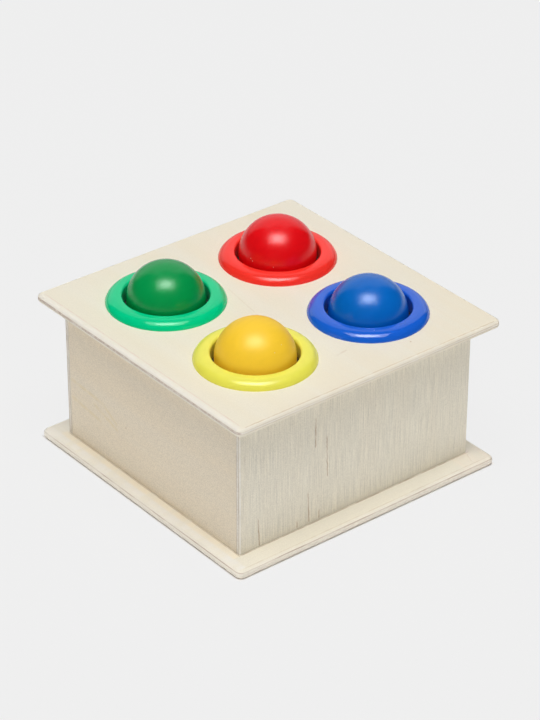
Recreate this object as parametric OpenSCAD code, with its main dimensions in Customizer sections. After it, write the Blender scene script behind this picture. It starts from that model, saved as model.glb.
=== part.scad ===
// Pounding ball box: a plywood box with an open end, four coloured rings in its top board,
// and a wooden ball in each ring. A ball is pounded down through its ring, drops on to
// the ramp inside and rolls out at the open end.
// Origin: middle of the base board's underside. +Z is up, and +X points out of the open end.

/* [Boards] */
// How far the square boards reach past the ends of the front and back walls
board_overhang = 10.5; // [9:0.5:25]
// Thickness of the base board and top board
board_t = 5; // [5:0.5:8]
// Corner radius of the boards, seen from above
board_corner_r = 4; // [3:0.5:10]
// Rounding along the boards' upper and lower edges
board_edge_r = 2.2; // [0.5:0.1:2.4]

/* [Walls] */
// Height of the walls between the boards
wall_h = 85; // [76:1:110]
// Thickness of the walls
wall_t = 3; // [2.5:0.5:5]

/* [Ramp] */
// Slope of the ramp, in degrees
ramp_angle = 10; // [6:0.5:12]
// Thickness of the ramp
ramp_t = 3; // [2.5:0.5:5]
// Thickness that is left at the ramp's lower end
ramp_toe = 1; // [0.6:0.1:2]
// Width of the batten under the ramp's upper end
batten_w = 10; // [6:1:16]
// Height of the batten at its lower side
batten_h = 10; // [6:1:12]

/* [Balls] */
// Diameter of a ball
ball_d = 45; // [40:0.5:55]

/* [Rings] */
// Width of a ring from its bore to its rim
ring_w = 9.65; // [8.5:0.05:12]
// Bare board between neighbouring rings
ring_spacing = 11.7; // [4:0.1:25]
// Height of a ring above the top board
ring_rise = 4.9; // [3.5:0.1:7]
// Width of the level strip along a ring's crest
ring_flat = 1.8; // [0.4:0.1:3]
// Upright edge at a ring's rim
ring_edge = 0.5; // [0.2:0.1:1]
// Rounding between a ring's crest and its bore
ring_lip_r = 1.6; // [0.8:0.1:2.5]
// Wall thickness of the collar that lines the hole under a ring
collar_t = 1; // [0.8:0.1:1.2]
// How far a ring's collar reaches down into the hole
collar_l = 4.5; // [3:0.1:4.6]
// Diameter of the pegs under a ring
peg_d = 4; // [3:0.1:4.4]
// Distance of the pegs from a ring's rim
peg_inset = 5.15; // [4:0.05:5.3]
// Diameter of the heads that are formed on the pegs
peg_head_d = 6.4; // [5.4:0.1:7]
// Height of the heads on the pegs
peg_head_h = 1.4; // [0.8:0.1:2]

/* [Grips] */
// Thickness of a grip
grip_t = 2; // [1.5:0.1:3]
// Height of the red ball's middle above its grip, whose petals it has hardly opened
red_seat = 8; // [3:0.1:9]
// Height of the green ball's middle above its grip
green_seat = 6.1; // [3:0.1:9]
// Height of the blue ball's middle above its grip, whose petals it has opened wide
blue_seat = 4.2; // [3:0.1:9]
// Height of the yellow ball's middle above its grip
yellow_seat = 6.1; // [3:0.1:9]
// Number of slits that part a grip's petals
grip_slits = 8; // [4:4:8]
// How far the slits reach outside the ball
slit_l = 3.45; // [2:0.05:3.5]
// Width of a slit
slit_w = 0.8; // [0.5:0.1:1.2]
// Diameter of the round end of a slit
slit_end_d = 1.6; // [1.4:0.1:2]
// Rim of a grip outside the heads of the pegs
grip_rim = 1; // [0.5:0.1:2]

/* [Clearances] */
// Gap between a ball and its ring's bore
ball_gap = 2; // [1.4:0.1:2.5]
// Gap between a ring's collar and the hole in the board
collar_gap = 0.15; // [0.1:0.05:0.2]
// Gap between a peg and its hole, on the radius
peg_gap = 0.2; // [0.1:0.05:0.4]
// Gap between a ball and the grip that it rests on
seat_gap = 0.1; // [0.05:0.05:0.2]
// Gap between a grip and the front or back wall
grip_gap_side = 2.8; // [1:0.1:8]
// Gap between a grip and the left wall
grip_gap_end = 5.8; // [1:0.1:20]
// Gap between the ramp and the front and back walls
ramp_gap = 0.1; // [0.05:0.05:0.5]

/* [Hidden] */
$fn = 96;

// Places of the four balls, as signs of X and Y, with each ball's height above its grip
RED = [1, 1, red_seat];
GREEN = [-1, 1, green_seat];
BLUE = [1, -1, blue_seat];
YELLOW = [-1, -1, yellow_seat];
PLACES = [RED, GREEN, BLUE, YELLOW];

// Angles of a ring's pegs, and the turn of the slits that keeps them between the pegs
peg_angles = [45, 135, 225, 315];
slit_turn = 180 / grip_slits;

// Overlap that makes a cut run clear of the face it goes through
cut = 1;

// Heights of the faces that the pieces stack on
floor_z = board_t;
ceiling_z = board_t + wall_h;
top_z = ceiling_z + board_t;

// Radii about a ball's axis
ball_r = ball_d / 2;
bore_r = ball_r + ball_gap;
crest_r = bore_r + ring_lip_r;
ring_r = bore_r + ring_w;
hole_r = bore_r + collar_t + collar_gap;
peg_circle_r = ring_r - peg_inset;
grip_r = peg_circle_r + peg_head_d / 2 + grip_rim;

// The balls' spacing follows from the rings, the box closes round the grips, and the boards
// reach past the box
ball_pitch = 2 * ring_r + ring_spacing;
inner_depth = ball_pitch + 2 * (grip_r + grip_gap_side);
box_depth = inner_depth + 2 * wall_t;
wall_length = ball_pitch + 2 * (grip_r + grip_gap_end + wall_t);
board_side = wall_length + 2 * board_overhang;

// A ring's dome starts level at the end of the flat and comes down to the upright edge at the rim
shoulder_r = crest_r + ring_flat;
dome_run = ring_r - shoulder_r;
dome_fall = ring_rise - ring_edge;
dome_r = (dome_run * dome_run + dome_fall * dome_fall) / (2 * dome_fall);

// A ball rests on the upper edge of its grip's hole, which it has pressed open to fit
function grip_hole_r(place) = sqrt(pow(ball_r + seat_gap, 2) - pow(place[2], 2));

// The ramp runs from the left wall's inner face to the open end
ramp_depth = inner_depth - 2 * ramp_gap;
ramp_x0 = -wall_length / 2 + wall_t;
ramp_x1 = wall_length / 2;
ramp_drop = ramp_t / cos(ramp_angle);
function ramp_top(x) = floor_z + ramp_toe + (ramp_x1 - x) * tan(ramp_angle);
function ramp_under(x) = ramp_top(x) - ramp_drop;
ramp_heel_x = ramp_x1 - (ramp_drop - ramp_toe) / tan(ramp_angle);

// Section of a board: a flat strip with both its long edges rounded above and below
module board_section(width) {
    square([width, board_t - 2 * board_edge_r], center = true);
    square([width - 2 * board_edge_r, board_t], center = true);
    for (x = [-1, 1], y = [-1, 1])
        translate([x * (width / 2 - board_edge_r), y * (board_t / 2 - board_edge_r)])
            circle(board_edge_r);
}

// Square board with round corners and rounded edges, standing on z = 0
module board() {
    straight = board_side - 2 * board_corner_r;
    translate([0, 0, board_t / 2]) {
        for (turn = [0, 90])
            rotate([90, 0, turn])
                linear_extrude(straight, center = true)
                    board_section(board_side);
        for (x = [-1, 1], y = [-1, 1])
            translate([x * straight / 2, y * straight / 2, 0])
                rotate_extrude()
                    intersection() {
                        board_section(2 * board_corner_r);
                        translate([0, -board_t])
                            square([2 * board_corner_r, 2 * board_t]);
                    }
    }
}

// Upright panel of wall thickness, from the base board to the top board
module wall(length) {
    translate([0, 0, floor_z + wall_h / 2])
        cube([length, wall_t, wall_h], center = true);
}

// Section in X and Z, drawn out along Y between the front and back walls
module across_box(points) {
    rotate([90, 0, 0])
        linear_extrude(ramp_depth, center = true)
            polygon(points);
}

// Moves a piece from the origin to a ball's axis
module at_place(place, z) {
    translate([place[0] * ball_pitch / 2, place[1] * ball_pitch / 2, z])
        children();
}

// Repeats a piece at each of a ring's pegs
module at_pegs() {
    for (a = peg_angles)
        rotate(a)
            translate([peg_circle_r, 0, 0])
                children();
}

// Base board, which the walls and the ramp stand on
module base_board() {
    color("wheat")
        board();
}

// Front wall, whose ends show at the corners
module front_wall() {
    color("tan")
        translate([0, (wall_t - box_depth) / 2, 0])
            wall(wall_length);
}

// Back wall, like the front wall
module back_wall() {
    color("tan")
        translate([0, (box_depth - wall_t) / 2, 0])
            wall(wall_length);
}

// Left wall, which closes the end between the front and back walls
module left_wall() {
    color("burlywood")
        translate([(wall_t - wall_length) / 2, 0, 0])
            rotate(90)
                wall(inner_depth);
}

// Ramp that the balls roll out on, cut level where it meets the base board
module ramp() {
    color("tan")
        across_box([
            [ramp_x0, ramp_top(ramp_x0)],
            [ramp_x0, ramp_under(ramp_x0)],
            [ramp_heel_x, floor_z],
            [ramp_x1, floor_z],
            [ramp_x1, ramp_top(ramp_x1)]
        ]);
}

// Batten on the left wall, bevelled to carry the ramp's upper end
module ramp_batten() {
    x1 = ramp_x0 + batten_w;
    z0 = ramp_under(x1) - batten_h;
    color("burlywood")
        across_box([
            [ramp_x0, ramp_under(ramp_x0)],
            [ramp_x0, z0],
            [x1, z0],
            [x1, ramp_under(x1)]
        ]);
}

// Top board with a hole for each ball, and holes for the pegs of the rings
module top_board() {
    color("cornsilk")
        translate([0, 0, ceiling_z])
            difference() {
                board();
                for (place = PLACES)
                    at_place(place, -cut) {
                        cylinder(r = hole_r, h = board_t + 2 * cut);
                        at_pegs()
                            cylinder(d = peg_d + 2 * peg_gap, h = board_t + 2 * cut);
                    }
            }
}

// Half section of a ring: a dome outside, a level strip, and a round lip into the bore, which
// runs on down inside a collar
module ring_section() {
    lip_z = ring_rise - ring_lip_r;
    translate([bore_r, -collar_l])
        square([collar_t, collar_l + lip_z]);
    translate([bore_r, 0])
        square([ring_lip_r, lip_z]);
    intersection() {
        translate([crest_r, lip_z])
            circle(ring_lip_r);
        translate([bore_r, lip_z])
            square(ring_lip_r);
    }
    translate([crest_r, 0])
        square([ring_flat, ring_rise]);
    intersection() {
        translate([shoulder_r, ring_rise - dome_r])
            circle(dome_r);
        translate([shoulder_r, 0])
            square([dome_run, ring_rise]);
    }
}

// Peg under a ring, through the board and the grip, with a round head formed under them
module peg() {
    stack = board_t + grip_t;
    head_r = peg_head_d / 2;
    head_sphere_r = (head_r * head_r + peg_head_h * peg_head_h) / (2 * peg_head_h);
    translate([0, 0, -stack])
        cylinder(d = peg_d, h = stack + ring_edge);
    translate([0, 0, -stack])
        mirror([0, 0, 1])
            rotate_extrude()
                intersection() {
                    translate([0, peg_head_h - head_sphere_r])
                        circle(head_sphere_r);
                    square([head_r, peg_head_h]);
                }
}

// Moulded ring on the top board, centred by its collar and held by its pegs
module ring(place, colour) {
    color(colour)
        at_place(place, top_z) {
            rotate_extrude()
                ring_section();
            at_pegs()
                peg();
        }
}

// Soft grip under the top board, slit into petals that hold a ball until it is pounded
module grip(place) {
    color("dimgray")
        at_place(place, ceiling_z - grip_t)
            difference() {
                cylinder(r = grip_r, h = grip_t);
                translate([0, 0, -cut]) {
                    cylinder(r = grip_hole_r(place), h = grip_t + 2 * cut);
                    at_pegs()
                        cylinder(d = peg_d + 2 * peg_gap, h = grip_t + 2 * cut);
                    for (i = [0 : grip_slits - 1])
                        rotate(slit_turn + i * 360 / grip_slits) {
                            translate([0, -slit_w / 2, 0])
                                cube([ball_r + slit_l, slit_w, grip_t + 2 * cut]);
                            translate([ball_r + slit_l, 0, 0])
                                cylinder(d = slit_end_d, h = grip_t + 2 * cut);
                        }
                }
            }
}

// Lacquered wooden ball, resting on its grip
module ball(place, colour) {
    color(colour)
        at_place(place, ceiling_z + place[2])
            sphere(d = ball_d);
}

base_board();
front_wall();
back_wall();
left_wall();
ramp_batten();
ramp();
top_board();
ring(RED, "tomato");  // red_ring
ring(GREEN, "mediumseagreen");  // green_ring
ring(BLUE, "royalblue");  // blue_ring
ring(YELLOW, "khaki");  // yellow_ring
grip(RED);  // red_grip
grip(GREEN);  // green_grip
grip(BLUE);  // blue_grip
grip(YELLOW);  // yellow_grip
ball(RED, "crimson");  // red_ball
ball(GREEN, "seagreen");  // green_ball
ball(BLUE, "steelblue");  // blue_ball
ball(YELLOW, "gold");  // yellow_ball
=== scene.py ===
import math

import bmesh
import bpy
from mathutils import Matrix, Vector


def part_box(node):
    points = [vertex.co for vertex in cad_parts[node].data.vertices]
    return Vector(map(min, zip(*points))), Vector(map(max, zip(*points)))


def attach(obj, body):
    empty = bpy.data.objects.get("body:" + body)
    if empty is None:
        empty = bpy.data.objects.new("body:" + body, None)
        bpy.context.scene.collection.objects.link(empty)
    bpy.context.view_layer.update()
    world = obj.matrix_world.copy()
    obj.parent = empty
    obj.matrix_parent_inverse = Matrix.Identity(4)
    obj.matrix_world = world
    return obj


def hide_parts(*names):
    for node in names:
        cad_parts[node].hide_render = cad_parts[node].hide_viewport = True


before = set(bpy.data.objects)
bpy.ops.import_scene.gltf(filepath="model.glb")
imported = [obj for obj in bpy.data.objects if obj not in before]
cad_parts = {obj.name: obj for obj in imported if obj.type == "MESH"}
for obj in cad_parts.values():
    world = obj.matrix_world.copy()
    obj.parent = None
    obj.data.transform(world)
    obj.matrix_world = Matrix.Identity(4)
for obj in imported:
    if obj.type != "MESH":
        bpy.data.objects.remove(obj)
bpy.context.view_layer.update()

# Base board
# A square of three-ply plywood, 5 mm thick, with a thin veneer above its core. Its corners and both its rims
# are rounded over and sanded smooth, and the walls and the ramp are glued on to it.
MM = 0.001
X = Vector((1, 0, 0))
Y = Vector((0, 1, 0))
Z = Vector((0, 0, 1))
board_corner_r = 4 * MM
board_edge_r = 2.2 * MM
base_glue = (1.5, -1.7)
CREAM = (0.85, 0.80, 0.675)
HONEY = (0.83, 0.76, 0.605)
CORE_WHITE = (0.90, 0.86, 0.79)
GLUE_BROWN = (0.40, 0.25, 0.17)
# Painted shade: at the feet of the walls, along a shadow edge at the open end and on the lower rims
PAINTED_SHADE_BROWN = (0.36, 0.21, 0.10)
VENEER_BROWN = (0.60, 0.47, 0.34)
# Painted light for parts of the base that the overhang and the box shade
PAINTED_LIGHT_WHITE = (0.90, 0.87, 0.82)
PAINTED_LIGHT_HONEY = (0.97, 0.86, 0.66)
PAINTED_LIGHT_CREAM = (0.97, 0.92, 0.82)
PAINTED_LIGHT_PINK = (0.97, 0.84, 0.70)
BOARD_LOOK = {"pale": CREAM, "warm": HONEY, "core": CORE_WHITE, "fibre": 0.04, "pores": 0.08, "bands": 0.02,
              "sand": 0.11, "edge_core_and_highlight": 0.3, "glue": 0.5, "glue_line": 0.3}
BASE_LOOK = dict(BOARD_LOOK, pale=(0.88, 0.835, 0.72), warm=(0.86, 0.80, 0.66), core=(0.95, 0.89, 0.78),
                 glue=0.75)

# How many waves the wood's patterns have to the millimetre, along the grain, across it and through the board
GLUE_WAVES = (0.05, 0.05, 0.0)
FADING_WAVES = (0.06, 0.06, 0.06)
SWAY_WAVES = (0.012, 0.03, 0.03)
BAND_WAVES = (0.005, 0.06, 0.06)
FIBRE_WAVES = (0.045, 2.0, 2.0)
PORE_WAVES = (0.09, 1.8, 1.8)
SPECKLE_WAVES = (2.0, 2.3, 2.3)
TEAR_WAVES = (0.5, 0.5, 1.2)
glue_wander = 0.2
grain_sway = 1.2
core_cover = 0.7
end_grain_shade = -0.03
wood_relief = 0.06 * MM
wood_roughness = 0.62
wood_specular = 0.3
mark_wavers = 0.35
mark_breaks = 0.12
mark_fade = 2.5


def block_like(node, name):
    """A block as large as a node, in the node's place."""
    low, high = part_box(node)
    bpy.ops.object.select_all(action="DESELECT")
    bpy.ops.mesh.primitive_cube_add(size=1, location=(low + high) / 2)
    block = bpy.context.object
    block.name = name
    block.scale = high - low
    bpy.ops.object.transform_apply(location=True, rotation=True, scale=True)
    return block


def pick_edges(piece, wanted):
    """Selects, in edit mode, the edges whose two ends pass the test."""
    bpy.ops.mesh.select_mode(type="EDGE")
    bpy.ops.mesh.select_all(action="DESELECT")
    mesh = bmesh.from_edit_mesh(piece.data)
    for edge in mesh.edges:
        edge.select_set(wanted(edge.verts[0].co, edge.verts[1].co))
    bmesh.update_edit_mesh(piece.data)


def pick_up(piece):
    """Selects one piece alone and makes it the active one."""
    bpy.ops.object.select_all(action="DESELECT")
    piece.select_set(True)
    bpy.context.view_layer.objects.active = piece


def apply_modifier(piece, kind, **settings):
    """Adds a modifier to a piece, sets it and applies it."""
    pick_up(piece)
    modifier = piece.modifiers.new(kind.lower(), kind)
    for setting, value in settings.items():
        setattr(modifier, setting, value)
    bpy.ops.object.modifier_apply(modifier=modifier.name)


def smooth_rounds(piece):
    """Shades the rounded edges smoothly and keeps the flat faces flat."""
    pick_up(piece)
    bpy.ops.object.shade_smooth_by_angle(angle=math.radians(40))
    apply_modifier(piece, "WEIGHTED_NORMAL", keep_sharp=True, weight=100)


def sanded_board(node, name):
    """A square board with rounded corners and rounded rims."""
    board = block_like(node, name)
    bpy.ops.object.mode_set(mode="EDIT")
    pick_edges(board, lambda a, b: abs(a.z - b.z) > MM)
    bpy.ops.mesh.bevel(offset=board_corner_r, segments=8, affect="EDGES")
    pick_edges(board, lambda a, b: abs(a.z - b.z) < 0.1 * MM)
    bpy.ops.mesh.bevel(offset=board_edge_r, segments=6, affect="EDGES")
    bpy.ops.object.mode_set(mode="OBJECT")
    return board


def shader_node(tree, kind, sockets, **settings):
    """Adds a node, sets it, and fills its sockets with values or with other nodes' outputs."""
    node = tree.nodes.new("ShaderNode" + kind)
    for setting, value in settings.items():
        setattr(node, setting, value)
    for socket, value in sockets.items():
        if isinstance(value, bpy.types.NodeSocket):
            tree.links.new(value, node.inputs[socket])
        else:
            node.inputs[socket].default_value = value
    return node


def maths(tree, operation, *values):
    """The output of a Math node."""
    return shader_node(tree, "Math", dict(enumerate(values)), operation=operation).outputs[0]


def ramp_between(tree, value, start, end, low=0.0, high=1.0):
    """A value's smooth way from low to high, as it goes from start to end."""
    sockets = {0: value, 1: start, 2: end, 3: low, 4: high}
    return shader_node(tree, "MapRange", sockets, interpolation_type="SMOOTHSTEP").outputs[0]


def mixed(tree, share, first, second):
    """A share of the second colour over the first."""
    sockets = {"Fac": share, "Color1": first, "Color2": second}
    return shader_node(tree, "MixRGB", sockets).outputs[0]


def opaque(colour):
    """A colour with its alpha."""
    return (*colour, 1.0)


def in_millimetres(tree):
    """Object coordinates in millimetres."""
    coords = shader_node(tree, "TexCoord", {})
    return shader_node(tree, "Mapping", {
        "Vector": coords.outputs["Object"], "Scale": (1 / MM, 1 / MM, 1 / MM)}).outputs[0]


def grain_noise(tree, place, waves, detail=2.0):
    """Noise from -1 to 1, with so many waves to the millimetre along each direction of the wood."""
    stretched = shader_node(tree, "VectorMath", {0: place, 1: waves}, operation="MULTIPLY").outputs[0]
    noise = shader_node(tree, "TexNoise", {"Vector": stretched, "Scale": 1.0, "Detail": detail})
    return maths(tree, "MULTIPLY_ADD", noise.outputs[0], 2.0, -1.0)


def line_noise(tree, along, waves):
    """Noise from 0 to 1 along a line, with so many waves to the millimetre."""
    return shader_node(tree, "TexNoise", {"W": along, "Scale": waves}, noise_dimensions="1D").outputs[0]


def new_material(name):
    """An empty material, its tree and its shader."""
    material = bpy.data.materials.new(name)
    material.use_nodes = True
    tree = material.node_tree
    shader = tree.nodes["Principled BSDF"]
    return material, tree, shader


def face_mark(along, across, start, end, half_width, share, colour, wander=0.8):
    """A mark in a face, with its start and end given along one axis and across another, in mm."""
    return {"along": "xyz".index(along), "across": "xyz".index(across), "start": start, "end": end,
            "half_width": half_width, "share": share, "colour": colour, "wander": wander}


def mark_cover(tree, millimetres, mark):
    """How much of a mark covers each point: it wavers, breaks up a little and fades out at both ends."""
    along = millimetres.outputs[mark["along"]]
    across = millimetres.outputs[mark["across"]]
    start, start_across = mark["start"]
    end, end_across = mark["end"]
    lead = shader_node(tree, "MapRange", {0: along, 1: start, 2: end, 3: start_across, 4: end_across},
                       clamp=False).outputs[0]
    line = maths(tree, "MULTIPLY_ADD", line_noise(tree, along, mark_wavers), mark["wander"], lead)
    line = maths(tree, "SUBTRACT", line, 0.5 * mark["wander"])
    off = maths(tree, "ABSOLUTE", maths(tree, "SUBTRACT", line, across))
    cover = ramp_between(tree, off, mark["half_width"], 0.3 * mark["half_width"])
    breaks = ramp_between(tree, line_noise(tree, along, mark_breaks), 0.35, 0.6, 0.4, 1.0)
    cover = maths(tree, "MULTIPLY", cover, breaks)
    fade = math.copysign(min(mark_fade, abs(end - start) / 3), end - start)
    head = ramp_between(tree, along, start - 0.3 * fade, start + fade)
    tail = ramp_between(tree, along, end + 0.2 * fade, end - 0.5 * fade)
    return maths(tree, "MULTIPLY", cover, maths(tree, "MULTIPLY", head, tail))


def plywood(name, node, grain, outward, glue_lines, look, marks=(), torn=0.0):
    """Plywood: between its glue lines, in mm off the middle, the core's grain is turned by a quarter."""
    material, tree, shader = new_material(name)
    low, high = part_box(node)
    across = outward.cross(grain)
    turn = Matrix((grain, across, outward)).transposed().to_euler()
    quarter = (0.0, 0.0, math.pi / 2)
    coords = shader_node(tree, "TexCoord", {})
    place = shader_node(tree, "Mapping", {
        "Vector": coords.outputs["Object"], "Location": (low + high) / 2, "Rotation": turn,
        "Scale": (MM, MM, MM)}, vector_type="TEXTURE").outputs[0]
    facing = shader_node(tree, "Mapping", {"Vector": coords.outputs["Normal"], "Rotation": turn},
                         vector_type="TEXTURE").outputs[0]

    # Height off the middle, with the glue lines wandering and fading a little
    height = shader_node(tree, "SeparateXYZ", {0: place}).outputs[2]
    wander = grain_noise(tree, place, GLUE_WAVES, 3.0)
    height = maths(tree, "MULTIPLY_ADD", wander, glue_wander, height)
    glue = 0.0
    in_core = 0.0
    for line in glue_lines:
        off = maths(tree, "ABSOLUTE", maths(tree, "SUBTRACT", height, line))
        squeezed = ramp_between(tree, off, look["glue_line"], 0.3 * look["glue_line"])
        glue = maths(tree, "MAXIMUM", glue, squeezed)
        in_core = maths(tree, "ADD", in_core, maths(tree, "LESS_THAN", height, line))
    in_core = maths(tree, "MODULO", in_core, 2.0)
    fading = ramp_between(tree, grain_noise(tree, place, FADING_WAVES, 2.0), -0.4, 0.4, 0.3, 1.0)
    glue = maths(tree, "MULTIPLY", glue, fading)

    # The core's grain, the faces cut end on, and the arrises, paler from sanding and a painted highlight
    turned = shader_node(tree, "Mapping", {"Vector": place, "Rotation": quarter}).outputs[0]
    lay = mixed(tree, in_core, place, turned)
    turned_facing = shader_node(tree, "Mapping", {"Vector": facing, "Rotation": quarter}).outputs[0]
    end_on = shader_node(tree, "SeparateXYZ", {0: mixed(tree, in_core, facing, turned_facing)}).outputs[0]
    end_grain = ramp_between(tree, maths(tree, "ABSOLUTE", end_on), 0.35, 0.9)
    square_on = 0.0
    for part in shader_node(tree, "SeparateXYZ", {0: facing}).outputs:
        square_on = maths(tree, "MAXIMUM", square_on, maths(tree, "ABSOLUTE", part))
    edge_core_and_highlight = ramp_between(tree, square_on, 0.97, 0.85, 0.0, look["edge_core_and_highlight"])

    # Broad tone bands, fibres, open pores and the fine speckle of sanded wood
    sway = maths(tree, "MULTIPLY", grain_noise(tree, lay, SWAY_WAVES, 1.0), grain_sway)
    sway = shader_node(tree, "CombineXYZ", {1: sway}).outputs[0]
    lay = shader_node(tree, "VectorMath", {0: lay, 1: sway}, operation="ADD").outputs[0]
    band = grain_noise(tree, lay, BAND_WAVES, 2.0)
    fibres = grain_noise(tree, lay, FIBRE_WAVES, 2.0)
    pore = ramp_between(tree, grain_noise(tree, lay, PORE_WAVES, 1.0), 0.35, 0.62)
    speckle = grain_noise(tree, lay, SPECKLE_WAVES, 1.0)
    tone = maths(tree, "MULTIPLY_ADD", fibres, look["fibre"], 1.0)
    tone = maths(tree, "MULTIPLY_ADD", speckle, look["sand"], tone)
    tone = maths(tree, "MULTIPLY_ADD", band, look["bands"], tone)
    tone = maths(tree, "MULTIPLY_ADD", end_grain, end_grain_shade, tone)
    colour = mixed(tree, ramp_between(tree, band, -0.6, 0.6), opaque(look["pale"]), opaque(look["warm"]))
    colour = mixed(tree, maths(tree, "MULTIPLY", in_core, core_cover), colour, opaque(look["core"]))
    # The arrises take the core's colour, paler from sanding and as a painted highlight
    colour = mixed(tree, edge_core_and_highlight, colour, opaque(look["core"]))
    colour = shader_node(tree, "HueSaturation", {"Value": tone, "Color": colour}).outputs[0]
    colour = mixed(tree, maths(tree, "MULTIPLY", pore, look["pores"]), colour, opaque(GLUE_BROWN))
    colour = mixed(tree, maths(tree, "MULTIPLY", glue, look["glue"]), colour, opaque(GLUE_BROWN))

    # Torn fibres where the saw cut across the core
    ragged = ramp_between(tree, grain_noise(tree, place, TEAR_WAVES, 3.0), -0.4, 0.25, 0.15, torn)
    ragged = maths(tree, "MULTIPLY", ragged, end_grain)
    ragged = maths(tree, "MULTIPLY", ragged, in_core)
    colour = mixed(tree, ragged, colour, opaque(GLUE_BROWN))

    # Single marks in the face
    millimetres = shader_node(tree, "SeparateXYZ", {0: in_millimetres(tree)})
    for mark in marks:
        cover = maths(tree, "MULTIPLY", mark_cover(tree, millimetres, mark), mark["share"])
        colour = mixed(tree, cover, colour, opaque(mark["colour"]))

    relief = maths(tree, "MULTIPLY_ADD", pore, -0.6, fibres)
    relief = maths(tree, "MULTIPLY_ADD", ragged, -2.0, relief)
    relief = maths(tree, "MULTIPLY_ADD", speckle, 0.5, relief)
    bump = shader_node(tree, "Bump", {"Height": relief, "Strength": 0.35, "Distance": wood_relief})
    roughness = maths(tree, "MULTIPLY_ADD", fibres, 0.08, wood_roughness)
    tree.links.new(colour, shader.inputs["Base Color"])
    tree.links.new(roughness, shader.inputs["Roughness"])
    tree.links.new(bump.outputs[0], shader.inputs["Normal"])
    shader.inputs["Specular IOR Level"].default_value = wood_specular
    return material


def glue_in(piece, node, material):
    """Gives a piece of the box its wood, and puts it in its node's place."""
    piece.data.materials.append(material)
    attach(piece, "box")
    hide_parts(node)


base_marks = [
    # Painted shade along the feet of the front and left walls, where they meet the base
    face_mark("x", "y", (-82, -79.4), (84, -79.4), 0.45, 0.7, PAINTED_SHADE_BROWN, wander=0.15),
    face_mark("y", "x", (80, -82.4), (-80, -82.4), 0.4, 0.8, PAINTED_SHADE_BROWN, wander=0.1),
    # A painted shadow edge across the base at the open end, with painted light on its lit side
    face_mark("y", "x", (-80, 81.4), (-88, 78.6), 0.4, 0.3, PAINTED_SHADE_BROWN),
    face_mark("y", "x", (-76, 83.6), (-89, 79.4), 0.7, 0.45, PAINTED_LIGHT_WHITE),
    # Painted light on the strip along the left wall, whitest towards the edge, and on two corners in shade
    face_mark("y", "x", (90, -88.5), (-90, -88.5), 3.8, 0.65, PAINTED_LIGHT_WHITE),
    face_mark("y", "x", (82, -84), (-80, -84), 3.5, 0.6, PAINTED_LIGHT_HONEY),
    face_mark("x", "y", (-94, 86), (-66, 86), 10, 0.7, PAINTED_LIGHT_CREAM),
    face_mark("x", "y", (68, -85), (96, -85), 12, 0.4, PAINTED_LIGHT_PINK),
    # The veneer's edge along the front, and a painted contact shadow on the lower rims
    face_mark("x", "y", (-88, -90), (88, -90), 0.5, 0.4, VENEER_BROWN, wander=0.5),
    face_mark("x", "z", (-91, 0.5), (91, 0.5), 0.4, 0.6, PAINTED_SHADE_BROWN, wander=0.1),
    face_mark("y", "z", (-91, 0.5), (91, 0.5), 0.4, 0.6, PAINTED_SHADE_BROWN, wander=0.1),
]
base = sanded_board("base_board", "plywood_base")
smooth_rounds(base)
glue_in(base, "base_board",
        plywood("base_plywood", "base_board", X, Z, base_glue, BASE_LOOK, marks=base_marks))

# Walls
# Three panels of 3 mm plywood, sawn square with their arrises just eased. The front and back walls run the
# full length and show their ends at the corners, and the left wall is glued between them. One end stays open.
wall_ease = 0.4 * MM
wall_glue = (0.8, -0.8)
SAWN_EDGES = {"edge_core_and_highlight": 0.6, "glue": 0.6, "glue_line": 0.45}
WARM_LOOK = dict(BOARD_LOOK, pale=(0.85, 0.755, 0.605), warm=(0.83, 0.72, 0.555), sand=0.27, bands=0.05,
                 **SAWN_EDGES)
GREY_LOOK = dict(BOARD_LOOK, warm=(0.83, 0.77, 0.64), fibre=0.28, pores=0.2, sand=0.2, bands=0.04,
                 **SAWN_EDGES)
# Streaks and specks in the wood, and painted shade at the foot of the left wall
STREAK_AND_SHADE_BROWN = (0.41, 0.24, 0.09)
FIGURE_YELLOW = (0.80, 0.67, 0.42)
# A painted highlight for the front wall's left arris
ARRIS_HIGHLIGHT_WHITE = (0.97, 0.94, 0.88)
front_streaks = (
    ((72, -29.5), (53, -29.5), 0.45),
    ((58, -21.6), (31, -20.8), 0.4),
    ((26.5, -34.5), (6.4, -33.6), 0.45),
    ((12, -26.5), (6, -26.5), 0.4),
    ((10.7, -42), (6, -42), 0.4),
    ((24, -69.3), (5.5, -68.2), 0.45),
)
front_marks = [face_mark("z", "x", *streak, 0.75, STREAK_AND_SHADE_BROWN) for streak in front_streaks]
# A painted highlight down the front wall's left arris
front_marks.append(face_mark("z", "x", (80, -81.5), (5, -81.5), 0.48, 0.9, ARRIS_HIGHLIGHT_WHITE, wander=0.02))
left_figure = (
    ((76, 43.0), (44, 41.0)),
    ((45, 41.0), (31, 33.0)),
    ((76, 31.5), (46, 28.0)),
    ((54, 37.0), (30, 29.5)),
)
left_marks = [face_mark("y", "z", *line, 1.6, 0.5, FIGURE_YELLOW) for line in left_figure]
left_marks.append(face_mark("y", "z", (23.7, 35.8), (22.3, 35.8), 0.6, 0.6, STREAK_AND_SHADE_BROWN))
# Painted shade along the foot of the left wall
left_marks.append(face_mark("y", "z", (76, 5), (-30, 5), 3, 0.1, STREAK_AND_SHADE_BROWN, wander=0.1))


def eased_panel(node, name):
    """A sawn panel, its sharp arrises taken off."""
    panel = block_like(node, name)
    bpy.ops.object.mode_set(mode="EDIT")
    bpy.ops.mesh.select_all(action="SELECT")
    bpy.ops.mesh.bevel(offset=wall_ease, segments=2, affect="EDGES")
    bpy.ops.object.mode_set(mode="OBJECT")
    smooth_rounds(panel)
    return panel


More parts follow.
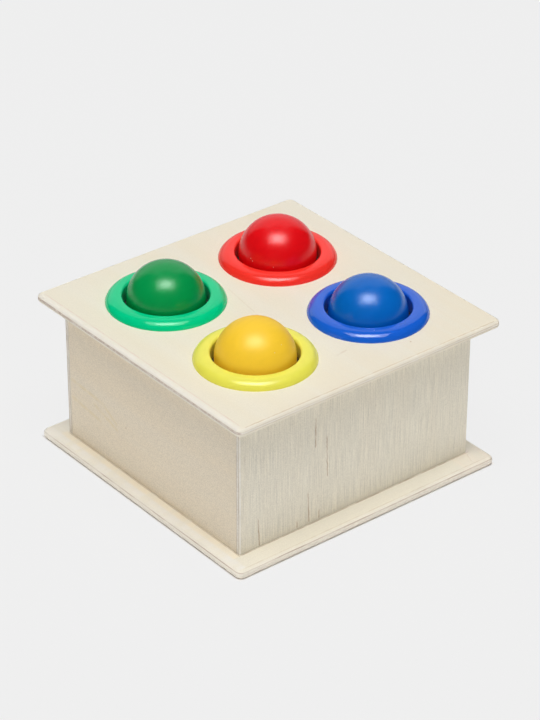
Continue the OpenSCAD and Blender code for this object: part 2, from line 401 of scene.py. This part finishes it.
glue_in(eased_panel("front_wall", "plywood_front"), "front_wall",
        plywood("front_plywood", "front_wall", Z, -Y, wall_glue, GREY_LOOK, marks=front_marks))
glue_in(eased_panel("back_wall", "plywood_back"), "back_wall",
        plywood("back_plywood", "back_wall", Z, Y, wall_glue, GREY_LOOK))
glue_in(eased_panel("left_wall", "plywood_left"), "left_wall",
        plywood("left_plywood", "left_wall", Y, -X, wall_glue, WARM_LOOK, marks=left_marks))

# Batten and ramp
# A bar of solid wood is glued across the left wall and planed to the ramp's slope. The ramp, a plain 3 mm
# plywood panel, lies on it and on the base board, with its lower end cut level.
ramp_t = 3 * MM
ramp_toe = 1 * MM
ramp_low, ramp_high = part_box("ramp")
ramp_slope = math.atan2(ramp_high.z - ramp_low.z - ramp_toe, ramp_high.x - ramp_low.x)
ramp_up = Vector((math.sin(ramp_slope), 0, math.cos(ramp_slope)))
ramp_head = Vector((ramp_low.x, 0, ramp_high.z))
ramp_under = ramp_head - ramp_up * ramp_t
BATTEN_LOOK = dict(WARM_LOOK, pale=HONEY, warm=(0.74, 0.61, 0.42), fibre=0.08, pores=0.2)


def plane_off(piece, point, normal, keep_under):
    """Cuts a piece along a plane, and keeps what lies under or over it."""
    bpy.ops.object.mode_set(mode="EDIT")
    bpy.ops.mesh.select_all(action="SELECT")
    bpy.ops.mesh.bisect(plane_co=point, plane_no=normal, use_fill=True,
                        clear_outer=keep_under, clear_inner=not keep_under)
    bpy.ops.object.mode_set(mode="OBJECT")


def ease_arrises(piece):
    """Takes the sharp arrises off a piece that was cut to shape."""
    apply_modifier(piece, "BEVEL", width=wall_ease, segments=2, limit_method="ANGLE")
    smooth_rounds(piece)


batten = block_like("ramp_batten", "batten_bar")
plane_off(batten, ramp_under, ramp_up, True)
ease_arrises(batten)
glue_in(batten, "ramp_batten", plywood("batten_wood", "ramp_batten", Y, Z, (), BATTEN_LOOK))

ramp = block_like("ramp", "plywood_ramp")
plane_off(ramp, ramp_head, ramp_up, True)
plane_off(ramp, ramp_under, ramp_up, False)
ease_arrises(ramp)
glue_in(ramp, "ramp", plywood("ramp_plywood", "ramp", X, Z, wall_glue, GREY_LOOK))

# Top board
# A board like the base, with a round hole bored for each ball and four small holes round it for the pegs of
# the ring. Its face grain runs from front to back, and the saw has torn the core along the left edge.
COLOURS = ("red", "green", "blue", "yellow")
top_glue = (0.9, -0.2)
top_torn = 0.7
hole_r = 25.65 * MM
peg_hole_r = 2.2 * MM
peg_circle_r = 29 * MM
peg_turns = [math.radians(45 + 90 * quarter) for quarter in range(4)]
peg_places = [peg_circle_r * Vector((math.cos(turn), math.sin(turn), 0)) for turn in peg_turns]
ball_axes = {colour: sum(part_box(f"{colour}_ball"), Vector()) / 2 for colour in COLOURS}
top_low, top_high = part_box("top_board")
TOP_LOOK = dict(BOARD_LOOK, fibre=0.025, pores=0.05, sand=0.09)
RIM_GREY = (0.87, 0.83, 0.775)
RIM_RED = (0.72, 0.50, 0.42)
WARM_CORNER = (0.84, 0.74, 0.57)
top_marks = [
    # Streaks, a knot's speck and the veneer's edge along the front
    face_mark("x", "y", (-4.5, -65.1), (4.5, -63.9), 1.0, 0.22, STREAK_AND_SHADE_BROWN),
    face_mark("y", "x", (30, -4.5), (-6, -10.3), 0.6, 0.12, STREAK_AND_SHADE_BROWN),
    face_mark("y", "x", (-78.2, 37.4), (-79.4, 37.4), 0.7, 0.8, STREAK_AND_SHADE_BROWN),
    face_mark("x", "y", (-88, -90.9), (88, -90.9), 0.5, 0.5, STREAK_AND_SHADE_BROWN, wander=0.4),
    # The left rim, sanded to the core, and the warmer wood towards the right corner
    face_mark("y", "x", (90, -90.8), (-90, -90.8), 2.4, 0.45, RIM_GREY, wander=0.4),
    face_mark("y", "x", (88, -88.7), (-88, -88.7), 0.6, 0.35, RIM_RED, wander=0.6),
    face_mark("x", "y", (-97, -130), (97, -62), 45, 0.4, WARM_CORNER, wander=0.0),
]


def combine(piece, other, operation):
    """Joins another piece to a piece or cuts it out of it, and removes the other one."""
    apply_modifier(piece, "BOOLEAN", operation=operation, object=other, solver="EXACT")
    bpy.data.objects.remove(other)


def bore(board, centre, radius, depth):
    """Bores a round hole straight through a board."""
    bpy.ops.object.select_all(action="DESELECT")
    bpy.ops.mesh.primitive_cylinder_add(vertices=96, radius=radius, depth=depth, location=centre)
    combine(board, bpy.context.object, "DIFFERENCE")


top = sanded_board("top_board", "plywood_top")
top_middle_z = (top_low.z + top_high.z) / 2
bore_depth = 2 * (top_high.z - top_low.z)
for axis in ball_axes.values():
    hole = Vector((axis.x, axis.y, top_middle_z))
    bore(top, hole, hole_r, bore_depth)
    for peg_place in peg_places:
        bore(top, hole + peg_place, peg_hole_r, bore_depth)
smooth_rounds(top)
glue_in(top, "top_board",
        plywood("top_plywood", "top_board", Y, Z, top_glue, TOP_LOOK, marks=top_marks, torn=top_torn))

# Rings
# Each is one glossy plastic moulding: a domed flange that turns over a round lip into a collar, which lines
# the hole, with four pegs under it. The pegs go through the board and the grip, and end in round heads.
ring_w = 9.65 * MM
ring_lip_r = 1.6 * MM
ring_flat = 1.8 * MM
ring_edge = 0.5 * MM
collar_t = 1 * MM
collar_l = 4.5 * MM
peg_r = 2 * MM
peg_head_r = 3.2 * MM
peg_head_h = 1.4 * MM
ring_low, ring_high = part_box("red_ring")
grip_low, grip_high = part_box("red_grip")
grip_t = grip_high.z - grip_low.z
peg_length = top_high.z - top_low.z + grip_t
ring_r = (ring_high.x - ring_low.x) / 2
ring_rise = ring_high.z - top_high.z
crest_r = ring_r - ring_w + ring_lip_r
shoulder_r = crest_r + ring_flat
dome_run = ring_r - shoulder_r
dome_fall = ring_rise - ring_edge
dome_r = (dome_run ** 2 + dome_fall ** 2) / (2 * dome_fall)
peg_head_sphere_r = (peg_head_r ** 2 + peg_head_h ** 2) / (2 * peg_head_h)
PLASTICS = {
    "red": (0.98, 0.036, 0.024),
    "green": (0.001, 0.62, 0.26),
    "blue": (0.010, 0.12, 0.66),
    "yellow": (0.86, 0.815, 0.10),
}
# Roughness and index of refraction
GLOSS = {"red": (0.18, 1.4), "green": (0.12, 1.36), "blue": (0.09, 1.48), "yellow": (0.2, 1.4)}
SWIRL_WAVES = (0.12, 0.12, 0.12)
SINK_WAVES = (0.09, 0.09, 0.09)
FINE_WAVES = (1.3, 1.3, 1.3)
RING_DUST = {"spacing": 4.0, "size": 0.3, "share": 0.08}
DUST_GREY = (0.9, 0.9, 0.9)
ring_relief = 0.15 * MM
weld_gap = 0.001 * MM


def one_point(name, place):
    """A piece that is a single point, in edit mode, for a profile to be drawn from."""
    bpy.ops.object.select_all(action="DESELECT")
    bpy.ops.mesh.primitive_plane_add(size=MM)
    piece = bpy.context.object
    piece.name = name
    bpy.ops.object.mode_set(mode="EDIT")
    bpy.ops.mesh.select_mode(type="VERT")
    bpy.ops.mesh.select_all(action="SELECT")
    bpy.ops.mesh.merge(type="CENTER")
    bpy.ops.transform.translate(value=place)
    return piece


def draw_arc(centre, angle, steps):
    """Carries the end of the profile round a centre, in the plane of X and Z."""
    bpy.ops.mesh.spin(steps=steps, angle=angle, center=centre, axis=(0, -1, 0))


def draw_line(along_x, along_z):
    """Carries the end of the profile straight on."""
    bpy.ops.mesh.extrude_vertices_move(TRANSFORM_OT_translate={"value": (along_x, 0, along_z)})


def turn_round(centre, steps):
    """Turns the whole profile round an upright axis, closes the seam and points the faces outwards."""
    bpy.ops.mesh.select_all(action="SELECT")
    bpy.ops.mesh.remove_doubles(threshold=weld_gap)
    bpy.ops.mesh.spin(steps=steps, angle=2 * math.pi, center=centre, axis=(0, 0, 1))
    bpy.ops.mesh.select_all(action="SELECT")
    bpy.ops.mesh.remove_doubles(threshold=weld_gap)
    bpy.ops.mesh.normals_make_consistent(inside=False)
    bpy.ops.object.mode_set(mode="OBJECT")


def ring_flange(name):
    """The domed flange round the Z axis, standing on Z = 0, with its collar below that."""
    flange = one_point(name, (shoulder_r, 0, ring_rise))
    draw_arc((shoulder_r, 0, ring_rise - dome_r), math.asin(dome_run / dome_r), 20)
    draw_line(0, -ring_edge)
    draw_line(collar_t - ring_w, 0)
    draw_line(0, -collar_l)
    draw_line(-collar_t, 0)
    draw_line(0, collar_l + ring_rise - ring_lip_r)
    draw_arc((crest_r, 0, ring_rise - ring_lip_r), math.pi / 2, 10)
    draw_line(ring_flat, 0)
    turn_round((0, 0, 0), 144)
    return flange


def ring_peg(name, length):
    """A peg with a round head under it, its top sunk into the flange."""
    x = peg_circle_r
    peg = one_point(name, (x, 0, -length - peg_head_h))
    centre_z = -length - peg_head_h + peg_head_sphere_r
    draw_arc((x, 0, centre_z), -math.asin(peg_head_r / peg_head_sphere_r), 8)
    draw_line(peg_r - peg_head_r, 0)
    draw_line(0, length + ring_edge)
    draw_line(-peg_r, 0)
    turn_round((x, 0, 0), 32)
    return peg


def copy_to(master, name, place):
    """A copy of a piece with a mesh of its own, moved to its place."""
    copy = master.copy()
    copy.data = master.data.copy()
    copy.name = name
    copy.data.transform(Matrix.Translation(place))
    bpy.context.scene.collection.objects.link(copy)
    return copy


def dust(tree, place, spacing, size, share):
    """Sparse specks of dust: one in a few cells of the spacing, in mm."""
    cells = shader_node(tree, "TexVoronoi", {"Vector": place, "Scale": 1 / spacing})
    near = ramp_between(tree, cells.outputs["Distance"], size / spacing, 0.5 * size / spacing)
    chosen = shader_node(tree, "SeparateXYZ", {0: cells.outputs["Color"]}).outputs[0]
    return maths(tree, "MULTIPLY", near, maths(tree, "LESS_THAN", chosen, share))


def moulded_plastic(name, colour, roughness, ior):
    """Glossy coloured plastic, with a slight swirl in its colour, soft sink marks and a little dust."""
    material, tree, shader = new_material(name)
    place = in_millimetres(tree)
    swirl = grain_noise(tree, place, SWIRL_WAVES, 3.0)
    fine = grain_noise(tree, place, FINE_WAVES, 2.0)
    sinks = grain_noise(tree, place, SINK_WAVES, 1.0)
    specks = dust(tree, place, **RING_DUST)
    tone = maths(tree, "MULTIPLY_ADD", swirl, 0.05, 1.0)
    shade = shader_node(tree, "HueSaturation", {"Value": tone, "Color": opaque(colour)}).outputs[0]
    shade = mixed(tree, maths(tree, "MULTIPLY", specks, 0.7), shade, opaque(DUST_GREY))
    relief = maths(tree, "MULTIPLY_ADD", fine, 0.03, sinks)
    bump = shader_node(tree, "Bump", {"Height": relief, "Strength": 0.25, "Distance": ring_relief})
    gloss = maths(tree, "MULTIPLY_ADD", fine, 0.03, roughness)
    gloss = maths(tree, "MULTIPLY_ADD", specks, 0.5, gloss)
    tree.links.new(shade, shader.inputs["Base Color"])
    tree.links.new(gloss, shader.inputs["Roughness"])
    tree.links.new(bump.outputs[0], shader.inputs["Normal"])
    shader.inputs["IOR"].default_value = ior
    return material


ring_master = ring_flange("ring_master")
peg_master = ring_peg("peg_master", peg_length)
for turn in peg_turns:
    peg = copy_to(peg_master, "peg", Vector())
    peg.data.transform(Matrix.Rotation(turn, 4, "Z"))
    combine(ring_master, peg, "UNION")
bpy.data.objects.remove(peg_master)
smooth_rounds(ring_master)
for colour, axis in ball_axes.items():
    ring = copy_to(ring_master, f"{colour}_moulded_ring", Vector((axis.x, axis.y, top_high.z)))
    ring.data.materials.append(moulded_plastic(f"{colour}_moulding", PLASTICS[colour], *GLOSS[colour]))
    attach(ring, "box")
    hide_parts(f"{colour}_ring")
bpy.data.objects.remove(ring_master)

# Grips
# A washer of black rubber, stamped from sheet, is held under the board by the heads of the ring's pegs. Eight
# slits part its inner edge into petals, which carry the ball and give way when it is pounded.
ball_low, ball_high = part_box("red_ball")
ball_r = (ball_high.x - ball_low.x) / 2
seat_gap = 0.1 * MM
grip_r = (grip_high.x - grip_low.x) / 2
grip_ease = 0.2 * MM
slit_reach_r = ball_r + 3.45 * MM
slit_w = 0.8 * MM
slit_end_r = 0.8 * MM
slit_turns = [math.radians(22.5 + 45 * eighth) for eighth in range(8)]
blade_middle_r = 0.8 * slit_reach_r
blade_length = 0.4 * slit_reach_r
cut_depth = 3 * grip_t
RUBBER_BLACK = (0.03, 0.03, 0.03)
BLOOM_GREY = (0.075, 0.073, 0.07)
BLOOM_WAVES = (0.15, 0.15, 0.15)
CLOTH_WAVES = (4.0, 4.0, 4.0)
rubber_relief = 0.03 * MM
rubber_roughness = 0.66


def slit_cutter(turn):
    """A thin blade with a round end, laid along a slit."""
    bpy.ops.object.select_all(action="DESELECT")
    bpy.ops.mesh.primitive_cylinder_add(vertices=24, radius=slit_end_r, depth=cut_depth,
                                        location=(slit_reach_r, 0, 0))
    blade = bpy.context.object
    bpy.ops.object.transform_apply(location=True, rotation=True, scale=True)
    bpy.ops.mesh.primitive_cube_add(size=1, location=(blade_middle_r, 0, 0))
    bar = bpy.context.object
    bar.scale = (blade_length, slit_w, cut_depth)
    bpy.ops.object.transform_apply(location=True, rotation=True, scale=True)
    combine(blade, bar, "UNION")
    blade.data.transform(Matrix.Rotation(turn, 4, "Z"))
    return blade


def stamped_grip(name, opening_r):
    """The slit washer round the Z axis, about Z = 0, its petals as open as the ball has pressed them."""
    bpy.ops.object.select_all(action="DESELECT")
    bpy.ops.mesh.primitive_cylinder_add(vertices=144, radius=grip_r, depth=grip_t)
    washer = bpy.context.object
    washer.name = name
    bore(washer, Vector(), opening_r, cut_depth)
    for peg_place in peg_places:
        bore(washer, peg_place, peg_hole_r, cut_depth)
    for turn in slit_turns:
        combine(washer, slit_cutter(turn), "DIFFERENCE")
    apply_modifier(washer, "BEVEL", width=grip_ease, segments=2, limit_method="ANGLE")
    smooth_rounds(washer)
    return washer


def black_rubber(name):
    """Matt rubber sheet, with a fine cloth-like grain and a pale bloom."""
    material, tree, shader = new_material(name)
    place = in_millimetres(tree)
    bloom = grain_noise(tree, place, BLOOM_WAVES, 3.0)
    grain = grain_noise(tree, place, CLOTH_WAVES, 2.0)
    share = maths(tree, "MULTIPLY_ADD", bloom, 0.4, 0.4)
    colour = mixed(tree, share, opaque(RUBBER_BLACK), opaque(BLOOM_GREY))
    bump = shader_node(tree, "Bump", {"Height": grain, "Strength": 0.4, "Distance": rubber_relief})
    roughness = maths(tree, "MULTIPLY_ADD", bloom, 0.1, rubber_roughness)
    tree.links.new(colour, shader.inputs["Base Color"])
    tree.links.new(roughness, shader.inputs["Roughness"])
    tree.links.new(bump.outputs[0], shader.inputs["Normal"])
    return material


rubber = black_rubber("grip_rubber_black")
for colour, axis in ball_axes.items():
    opening_r = math.sqrt((ball_r + seat_gap) ** 2 - (axis.z - grip_high.z) ** 2)
    grip = stamped_grip(f"{colour}_stamped_grip", opening_r)
    grip.data.transform(Matrix.Translation((axis.x, axis.y, grip_low.z + grip_t / 2)))
    grip.data.materials.append(rubber)
    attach(grip, "box")
    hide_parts(f"{colour}_grip")

# Balls
# Turned from hardwood, dyed through a coloured lacquer and tumbled to a satin shine, under which the pores
# and the marks of the lathe just show. Each one lies loose on its grip.
ball_cells = 56
ball_unevenness = 0.1 * MM
LACQUERS = {
    "red": (0.84, 0.003, 0.007),
    "green": (0.0005, 0.3, 0.07),
    "blue": (0.0005, 0.135, 0.54),
    "yellow": (0.98, 0.615, 0.036),
}
# Roughness and index of refraction
SATIN = {"red": (0.24, 1.41), "green": (0.23, 1.39), "blue": (0.23, 1.4), "yellow": (0.36, 1.31)}
GROWTH_WAVES = (0.05, 0.35, 0.35)
LATHE_WAVES = (0.6, 0.6, 1.5)
MATT_WAVES = (0.9, 0.9, 1.5)
PIT_WAVES = (0.5, 1.8, 1.8)
BALL_DUST = {"spacing": 3.0, "size": 0.3, "share": 0.1}
DUST_WHITE = (0.9, 0.88, 0.86)
ball_relief = 0.08 * MM


def turned_ball(name):
    """A ball about the origin, true to a tenth of a millimetre."""
    bpy.ops.object.select_all(action="DESELECT")
    bpy.ops.mesh.primitive_cube_add(size=ball_r)
    ball = bpy.context.object
    ball.name = name
    bpy.ops.object.mode_set(mode="EDIT")
    bpy.ops.mesh.subdivide(number_cuts=ball_cells - 1)
    bpy.ops.object.mode_set(mode="OBJECT")
    apply_modifier(ball, "CAST", cast_type="SPHERE", factor=1.0, use_radius_as_size=False, size=ball_r)
    lathe = bpy.data.textures.new("lathe_unevenness", "CLOUDS")
    lathe.noise_scale = 0.6 * ball_r
    apply_modifier(ball, "DISPLACE", texture=lathe, strength=ball_unevenness, mid_level=0.5)
    bpy.ops.object.shade_smooth()
    return ball


def ball_lacquer(name, colour, roughness, ior):
    """Satin lacquer over turned wood: faint growth rings, open pores, dust and the marks of the lathe."""
    material, tree, shader = new_material(name)
    place = in_millimetres(tree)
    growth = grain_noise(tree, place, GROWTH_WAVES, 3.0)
    turning = grain_noise(tree, place, LATHE_WAVES, 2.0)
    matt = ramp_between(tree, grain_noise(tree, place, MATT_WAVES, 1.0), -0.1, 0.35)
    pits = ramp_between(tree, grain_noise(tree, place, PIT_WAVES, 1.0), 0.5, 0.75)
    specks = dust(tree, place, **BALL_DUST)
    tone = maths(tree, "MULTIPLY_ADD", growth, 0.05, 1.0)
    tone = maths(tree, "MULTIPLY_ADD", pits, -0.12, tone)
    shade = shader_node(tree, "HueSaturation", {"Value": tone, "Color": opaque(colour)}).outputs[0]
    shade = mixed(tree, maths(tree, "MULTIPLY", specks, 0.6), shade, opaque(DUST_WHITE))
    relief = maths(tree, "MULTIPLY_ADD", pits, -0.6, turning)
    bump = shader_node(tree, "Bump", {"Height": relief, "Strength": 0.1, "Distance": ball_relief})
    satin = maths(tree, "MULTIPLY_ADD", matt, 0.03, roughness)
    tree.links.new(shade, shader.inputs["Base Color"])
    tree.links.new(satin, shader.inputs["Roughness"])
    tree.links.new(bump.outputs[0], shader.inputs["Normal"])
    shader.inputs["IOR"].default_value = ior
    return material


ball_master = turned_ball("ball_master")
for colour, axis in ball_axes.items():
    ball = copy_to(ball_master, f"{colour}_turned_ball", axis)
    ball.data.materials.append(ball_lacquer(f"{colour}_ball_lacquer", LACQUERS[colour], *SATIN[colour]))
    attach(ball, f"{colour}_ball")
    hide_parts(f"{colour}_ball")
bpy.data.objects.remove(ball_master)

# Studio
# A table of white paper, lit through from below, runs out of sight under a key lamp on the camera's side, a
# ceiling lamp and a weak fill from the left. Reflections see a softbox with a bright middle, dark cards and,
# through a window in the cards, the bright backdrop.
BACKGROUND = (0.863, 0.863, 0.863)
PAPER = (0.88, 0.88, 0.88)
ROOM_GREY = (0.1, 0.1, 0.1)
CARD_GREY = (0.012, 0.012, 0.012)
table_side = 40
contact_shadow = 1.0 * MM
paper_glow = 0.95
light_from_below = 0.2
view_turn = math.radians(-38.87)
view_rise = math.radians(31.12)
view_right = Vector((math.cos(view_turn), math.sin(view_turn), 0))
view_back = Vector((math.sin(view_turn) * math.cos(view_rise), -math.cos(view_turn) * math.cos(view_rise),
                    math.sin(view_rise)))
to_camera = Vector((view_back.x, view_back.y, 0)).normalized()
left_front = Vector((-0.75, -0.66, 0)).normalized()
middle = Vector((0, 0, 0.05))


def emptied_tree(holder):
    """The node tree of a material or a world, with nothing in it."""
    holder.use_nodes = True
    holder.node_tree.nodes.clear()
    return holder.node_tree


def seen_directly(tree):
    """1 for what the camera, a reflection or a clear piece sees, 0 for light on its way between surfaces."""
    path = shader_node(tree, "LightPath", {})
    seen = maths(tree, "MAXIMUM", path.outputs["Is Camera Ray"], path.outputs["Is Glossy Ray"])
    return maths(tree, "MAXIMUM", seen, path.outputs["Is Transmission Ray"])


bpy.ops.object.select_all(action="DESELECT")
bpy.ops.mesh.primitive_plane_add(size=table_side)
floor = bpy.context.object
floor.name = "floor"
floor_paint = bpy.data.materials.new("floor_paint")
tree = emptied_tree(floor_paint)
base_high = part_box("base_board")[1]
place = shader_node(tree, "SeparateXYZ", {0: shader_node(tree, "TexCoord", {}).outputs["Object"]})
past_x = maths(tree, "SUBTRACT", maths(tree, "ABSOLUTE", place.outputs[0]), base_high.x)
past_y = maths(tree, "SUBTRACT", maths(tree, "ABSOLUTE", place.outputs[1]), base_high.y)
past = maths(tree, "MAXIMUM", past_x, past_y)
even = ramp_between(tree, past, -0.5 * contact_shadow, 0.4 * contact_shadow, 0.0, paper_glow)
seen = seen_directly(tree)
lit = shader_node(tree, "BsdfDiffuse", {"Color": opaque(PAPER)})
from_below = ramp_between(tree, seen, 1.0, 0.0, 0.0, light_from_below)
lit_through = shader_node(tree, "Emission", {"Strength": from_below})
lit = shader_node(tree, "AddShader", {0: lit.outputs[0], 1: lit_through.outputs[0]})
glow = shader_node(tree, "Emission", {"Color": opaque(BACKGROUND)})
paper = shader_node(tree, "MixShader", {
    0: maths(tree, "MULTIPLY", seen, even), 1: lit.outputs[0], 2: glow.outputs[0]})
shader_node(tree, "OutputMaterial", {0: paper.outputs[0]})
floor.data.materials.append(floor_paint)

world = bpy.data.worlds.new("room")
bpy.context.scene.world = world
tree = emptied_tree(world)
room = mixed(tree, seen_directly(tree), opaque(ROOM_GREY), opaque(BACKGROUND))
shader_node(tree, "OutputWorld", {0: shader_node(tree, "Background", {"Color": room}).outputs[0]})


def soft_lamp(name, flat_way, rise, distance, half_w, half_h, radiance, shape="RECTANGLE"):
    """A soft lamp that faces the object, as wide and as high as it looks from there, in degrees."""
    rise = math.radians(rise)
    way = flat_way * math.cos(rise) + Z * math.sin(rise)
    light = bpy.data.lights.new(name, "AREA")
    light.shape = shape
    light.size = 2 * distance * math.tan(math.radians(half_w))
    light.size_y = 2 * distance * math.tan(math.radians(half_h))
    light.energy = math.pi * radiance * light.size * light.size_y
    lamp = bpy.data.objects.new(name, light)
    bpy.context.scene.collection.objects.link(lamp)
    lamp_across = Z.cross(flat_way)
    lamp.matrix_world = Matrix.Translation(middle + way * distance) @ Matrix(
        (lamp_across, way.cross(lamp_across), way)).transposed().to_4x4()
    return lamp


softbox = soft_lamp("softbox", to_camera, rise=72, distance=3.0, half_w=24, half_h=15, radiance=4.7)
hot_spot = soft_lamp("hot_spot", to_camera, rise=72, distance=2.8, half_w=14, half_h=11, radiance=7.5,
                     shape="ELLIPSE")
for lamp in (softbox, hot_spot):
    lamp.visible_diffuse = False
key = soft_lamp("key", to_camera, rise=72, distance=3.6, half_w=23, half_h=15, radiance=5.1)
ceiling = soft_lamp("ceiling", -to_camera, rise=80, distance=3.3, half_w=30, half_h=30, radiance=0.85)
fill = soft_lamp("fill", left_front, rise=15, distance=3.3, half_w=20, half_h=12, radiance=0.8)
for lamp in (key, ceiling, fill):
    lamp.visible_glossy = False

card_r = 5
window_top = math.radians(64)
window_foot = math.radians(6)
window_left = math.radians(50)
window_right = math.radians(40)
bpy.ops.object.select_all(action="DESELECT")
bpy.ops.mesh.primitive_uv_sphere_add(segments=144, ring_count=180, radius=card_r, location=middle)
cards = bpy.context.object
cards.name = "dark_cards"
bpy.ops.object.transform_apply(location=True, rotation=True, scale=True)
bpy.ops.object.mode_set(mode="EDIT")
bpy.ops.mesh.select_mode(type="FACE")
bpy.ops.mesh.select_all(action="DESELECT")
card_mesh = bmesh.from_edit_mesh(cards.data)
for face in card_mesh.faces:
    way = (face.calc_center_median() - middle).normalized()
    rise = math.asin(way.z)
    turn = math.atan2(way.dot(view_right), way.dot(-to_camera))
    window = -window_left < turn < window_right and window_foot < rise < window_top
    face.select_set(window or rise < 0)
bmesh.update_edit_mesh(cards.data)
bpy.ops.mesh.delete(type="FACE")
bpy.ops.object.mode_set(mode="OBJECT")
card_paint = bpy.data.materials.new("card_paint")
tree = emptied_tree(card_paint)
shade = shader_node(tree, "Emission", {"Color": opaque(CARD_GREY)})
shader_node(tree, "OutputMaterial", {0: shade.outputs[0]})
cards.data.materials.append(card_paint)
cards.visible_camera = False
cards.visible_diffuse = False
cards.visible_shadow = False
cards.visible_transmission = False

# Camera
# It looks down on the front corner from the photograph's side, with a long lens.
lens_length = 142.1
view_distance = 1.6045
view_roll = math.radians(0.175)
view_up = view_back.cross(view_right)
aim_right = 1.84 * MM
aim_up = 8.63 * MM
camera = bpy.data.objects.new("camera", bpy.data.cameras.new("camera"))
bpy.context.scene.collection.objects.link(camera)
camera.data.lens = lens_length
camera.data.sensor_width = 36
aim = middle + view_right * aim_right + view_up * aim_up
turned = Matrix((view_right, view_up, view_back)).transposed().to_4x4() @ Matrix.Rotation(view_roll, 4, "Z")
camera.matrix_world = Matrix.Translation(aim + view_back * view_distance) @ turned
bpy.context.scene.camera = camera
bpy.context.scene.view_settings.view_transform = "Standard"
